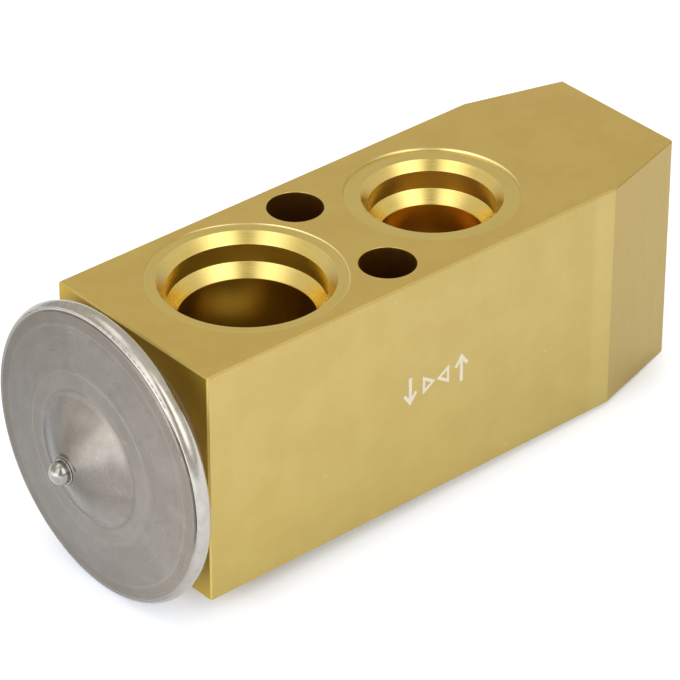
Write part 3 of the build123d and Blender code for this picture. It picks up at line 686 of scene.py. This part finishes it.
def spring_piece(name, low, high):
    per_turn, around = 48, 16
    slope = SPRING_PITCH / (2 * math.pi * SPRING_R)
    steps = int(round((high - low) / SPRING_PITCH * per_turn))
    bm = bmesh.new()
    rows = []
    for i in range(steps + 1):
        x = low + (high - low) * i / steps
        a = 2 * math.pi * (x - SPRING_A) / SPRING_PITCH
        out = Vector((0.0, math.cos(a), math.sin(a)))
        along = Vector((slope, -math.sin(a), math.cos(a))).normalized()
        side = along.cross(out).normalized()
        centre = Vector((x, 0.0, AXIS_Z)) + out * SPRING_R
        row = []
        for j in range(around):
            b = 2 * math.pi * j / around
            p = centre + out * (SPRING_WIRE_R * math.cos(b)) + side * (SPRING_WIRE_R * math.sin(b))
            p.x = min(max(p.x, SPRING_A), SPRING_B)
            row.append(bm.verts.new(p * MM))
        rows.append(row)
    for here, there in zip(rows, rows[1:]):
        for j in range(around):
            q = (j + 1) % around
            bm.faces.new((here[j], there[j], there[q], here[q]))
    bm.faces.new(rows[0])
    bm.faces.new(rows[-1])
    bmesh.ops.recalc_face_normals(bm, faces=bm.faces)
    me = bpy.data.meshes.new(name)
    bm.to_mesh(me)
    bm.free()
    for face in me.polygons:
        face.use_smooth = len(face.vertices) == 4
    me.materials.append(SPRING)
    ob = bpy.data.objects.new(name, me)
    scene.collection.objects.link(ob)
    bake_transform(ob)
    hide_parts("superheat_spring")


spring_piece("spring_holder_end", SPRING_A, SPRING_CUT - 0.002)
spring_piece("spring_nut_end", SPRING_CUT + 0.002, SPRING_B)


# ------------------------------------------------------------------ floor and light
def make_floor():
    lean = math.atan2(2.82, 82.2)
    me = bpy.data.meshes.new("floor")
    bm = bmesh.new()
    side = 2.5
    n = 8
    grid = [[bm.verts.new(((i / n - 0.5) * 2 * side, (j / n - 0.5) * 2 * side, 0)) for j in range(n + 1)] for i in range(n + 1)]
    for i in range(n):
        for j in range(n):
            bm.faces.new((grid[i][j], grid[i + 1][j], grid[i + 1][j + 1], grid[i][j + 1]))
    bm.to_mesh(me)
    bm.free()
    ob = bpy.data.objects.new("floor", me)
    ob.rotation_euler = (0, -lean, 0)
    ob.location = (-36.5 * MM, 0, -2.84 * MM)
    scene.collection.objects.link(ob)
    g = Graph("floor_paper")
    tone = g.noise(g.mm, 0.01, detail=2.0)
    colour = g.mix(g.smooth(tone, 0.3, 0.7), (0.78, 0.785, 0.79), (0.80, 0.805, 0.81))
    g.link(colour, g.bsdf.inputs["Base Color"])
    g.bsdf.inputs["Roughness"].default_value = 0.9
    g.bsdf.inputs["Specular IOR Level"].default_value = 0.2
    g.bsdf.inputs["Emission Color"].default_value = (0.80, 0.86, 1.0, 1.0)
    # painted light: the floor glows bluish-white, and the glow is dimmed over and near the block as a painted shadow
    span_x = g.math("MAXIMUM", g.math("SUBTRACT", 14.0, g.x), g.math("SUBTRACT", g.x, 74.0))
    span_y = g.math("SUBTRACT", g.math("ABSOLUTE", g.y), BLOCK_W / 2 - 7.0)
    away = g.vmath("LENGTH", g.combine(g.math("MAXIMUM", span_x, 0.0), g.math("MAXIMUM", span_y, 0.0), 0.0))
    # painted light: a brighter glowing patch on the floor far out in front of the head
    painted_pool = g.math("MULTIPLY", g.smooth(g.x, -170.0, -75.0, 1.0, 0.0), g.smooth(g.math("ABSOLUTE", g.y), 150.0, 320.0, 1.0, 0.0))
    glow = g.math("ADD", g.smooth(away, 0.0, 11.0, 0.04, 0.50), g.math("MULTIPLY", painted_pool, 1.3))
    g.link(glow, g.bsdf.inputs["Emission Strength"])
    me.materials.append(g.mat)


make_floor()


def make_world():
    """Soft light tent: pale walls, and two bright panels left and right of the camera."""
    world = bpy.data.worlds.new("studio")
    scene.world = world
    world.use_nodes = True
    t = world.node_tree
    t.nodes.clear()
    out = t.nodes.new("ShaderNodeOutputWorld")
    bg = t.nodes.new("ShaderNodeBackground")
    coord = t.nodes.new("ShaderNodeTexCoord")
    way = coord.outputs["Generated"]

    def fed(n, values):
        for value, socket in zip(values, n.inputs):
            if isinstance(value, bpy.types.NodeSocket):
                t.links.new(value, socket)
            else:
                socket.default_value = value
        return n.outputs[0]

    def m(op, *values):
        n = t.nodes.new("ShaderNodeMath")
        n.operation = op
        return fed(n, values)

    def dot(vector):
        n = t.nodes.new("ShaderNodeVectorMath")
        n.operation = "DOT_PRODUCT"
        t.links.new(way, n.inputs[0])
        n.inputs[1].default_value = vector
        return n.outputs["Value"]

    def step(value, low, high):
        n = t.nodes.new("ShaderNodeMapRange")
        n.interpolation_type = "SMOOTHSTEP"
        t.links.new(value, n.inputs["Value"])
        n.inputs["From Min"].default_value = low
        n.inputs["From Max"].default_value = high
        return n.outputs["Result"]

    def window(value, a, b, c, d):
        return m("MULTIPLY", step(value, a, b), m("SUBTRACT", 1.0, step(value, c, d)))

    # compass angle round the object, 0 on the side the camera stands, and elevation
    side = dot((0.7553, -0.6554, 0.0))
    toward = dot((-0.6554, -0.7553, 0.0))
    high = dot((0.0, 0.0, 1.0))
    turn = m("DEGREES", m("ARCTAN2", side, toward))
    rise = m("DEGREES", m("ARCSINE", high))
    left = m("MULTIPLY", window(turn, -80.0, -38.0, -28.0, -6.0), window(rise, -4.0, 10.0, 60.0, 76.0))
    right = m("MULTIPLY", window(turn, 8.0, 34.0, 42.0, 84.0), window(rise, 12.0, 26.0, 60.0, 76.0))
    low = m("MULTIPLY", window(turn, -126.0, -52.0, -40.0, -16.0), window(rise, -20.0, -8.0, 5.0, 20.0))
    gap = m("MULTIPLY", window(turn, -17.0, -5.0, 5.0, 17.0), window(rise, 8.0, 24.0, 62.0, 78.0))
    glow = m("ADD", m("MULTIPLY", left, PANEL_LEFT), m("MULTIPLY", right, PANEL_RIGHT))
    glow = m("ADD", glow, m("MULTIPLY", low, PANEL_LOW))
    glow = m("SUBTRACT", glow, m("MULTIPLY", gap, 0.32))
    above = m("MULTIPLY", window(turn, -178.0, -150.0, -98.0, -66.0), window(rise, 46.0, 58.0, 70.0, 84.0))
    glow = m("ADD", glow, m("MULTIPLY", above, 0.90))
    ramp = t.nodes.new("ShaderNodeValToRGB")
    rng = t.nodes.new("ShaderNodeMapRange")
    rng.inputs["From Min"].default_value = -90.0
    rng.inputs["From Max"].default_value = 90.0
    t.links.new(rise, rng.inputs["Value"])
    t.links.new(rng.outputs["Result"], ramp.inputs["Fac"])
    stops = [(0.0, 0.60, 0.60, 0.60), (0.5, 0.62, 0.61, 0.59), (0.62, 0.755, 0.717, 0.620), (0.74, 0.755, 0.717, 0.620), (1.0, 0.85, 0.84, 0.80)]
    el = ramp.color_ramp.elements
    while len(el) < len(stops):
        el.new(0.5)
    for e, (p, *v) in zip(el, stops):
        e.position = p
        e.color = (*v, 1.0)
    add = t.nodes.new("ShaderNodeMix")
    add.data_type = "RGBA"
    add.blend_type = "ADD"
    add.inputs[0].default_value = 1.0
    t.links.new(ramp.outputs["Color"], add.inputs[6])
    t.links.new(glow, add.inputs[7])
    t.links.new(add.outputs[2], bg.inputs["Color"])
    bg.inputs["Strength"].default_value = 1.0
    t.links.new(bg.outputs["Background"], out.inputs["Surface"])


PANEL_LEFT, PANEL_RIGHT, PANEL_LOW = 1.12, 1.50, 1.55
make_world()
